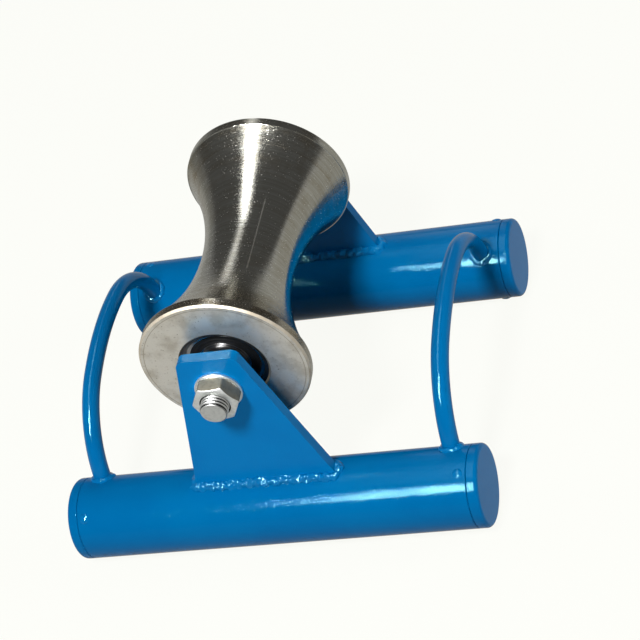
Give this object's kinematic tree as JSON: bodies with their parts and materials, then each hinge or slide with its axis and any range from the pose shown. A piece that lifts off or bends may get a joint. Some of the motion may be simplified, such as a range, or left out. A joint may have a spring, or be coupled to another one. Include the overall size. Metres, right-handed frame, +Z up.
{
  "type": "cable trench roller",
  "caption": "Free-standing cable trench roller: a concave steel roller on sealed ball bearings between two upright plates, on a base of two closed tubes tied by arched handle rods.",
  "frame": {"origin": "on the ground, midway between the two tubes and between their ends", "axes": "+X along the tubes, +Y along the axle from front to rear, +Z up"},
  "size_m": [0.314, 0.2842, 0.221],
  "materials": {
    "blue_paint": "glossy enamel on welded steel",
    "turned_steel": "turned bare steel with light scratches and oil stains",
    "axle_steel": "turned bare steel",
    "bearing_steel": "ground bearing steel",
    "cage_plastic": "moulded",
    "seal_rubber": "moulded rubber",
    "spring_steel": "blackened spring steel",
    "zinc_plate": "bright zinc plating"
  },
  "bodies": {
    "frame": {"front_tube": "blue_paint", "rear_tube": "blue_paint", "front_right_cap": "blue_paint", "front_left_cap": "blue_paint", "rear_right_cap": "blue_paint", "rear_left_cap": "blue_paint", "front_plug_welds": "blue_paint", "rear_plug_welds": "blue_paint", "front_bracket": "blue_paint", "rear_bracket": "blue_paint", "front_bracket_welds": "blue_paint", "rear_bracket_welds": "blue_paint", "left_handle_rod": "blue_paint", "right_handle_rod": "blue_paint", "left_rod_welds": "blue_paint", "right_rod_welds": "blue_paint", "axle": "axle_steel", "front_bearing_inner_ring": "bearing_steel", "rear_bearing_inner_ring": "bearing_steel", "front_spacer": "axle_steel", "rear_spacer": "axle_steel", "front_washer": "zinc_plate", "rear_washer": "zinc_plate", "front_nut": "zinc_plate", "rear_nut": "zinc_plate"},
    "roller": {"roller": "turned_steel", "front_bearing_outer_ring": "bearing_steel", "rear_bearing_outer_ring": "bearing_steel", "front_bearing_seals": "seal_rubber", "rear_bearing_seals": "seal_rubber", "front_circlip": "spring_steel", "rear_circlip": "spring_steel"},
    "front_cage": {"front_bearing_cage": "cage_plastic", "front_bearing_balls": "bearing_steel"},
    "rear_cage": {"rear_bearing_cage": "cage_plastic", "rear_bearing_balls": "bearing_steel"}
  },
  "joints": [
    {"name": "roller_spin", "type": "hinge", "parent": "frame", "child": "roller", "pos_m": [0, 0, 0.16], "axis": [0, 1, 0], "continuous": true},
    {"name": "front_cage_spin", "type": "hinge", "parent": "frame", "child": "front_cage", "pos_m": [0, -0.081, 0.16], "axis": [0, 1, 0], "continuous": true},
    {"name": "rear_cage_spin", "type": "hinge", "parent": "frame", "child": "rear_cage", "pos_m": [0, 0.081, 0.16], "axis": [0, 1, 0], "continuous": true}
  ],
  "couplings": [
    {"joint": "front_cage_spin", "follows": "roller_spin", "ratio": 0.63158},
    {"joint": "rear_cage_spin", "follows": "roller_spin", "ratio": 0.63158}
  ]
}
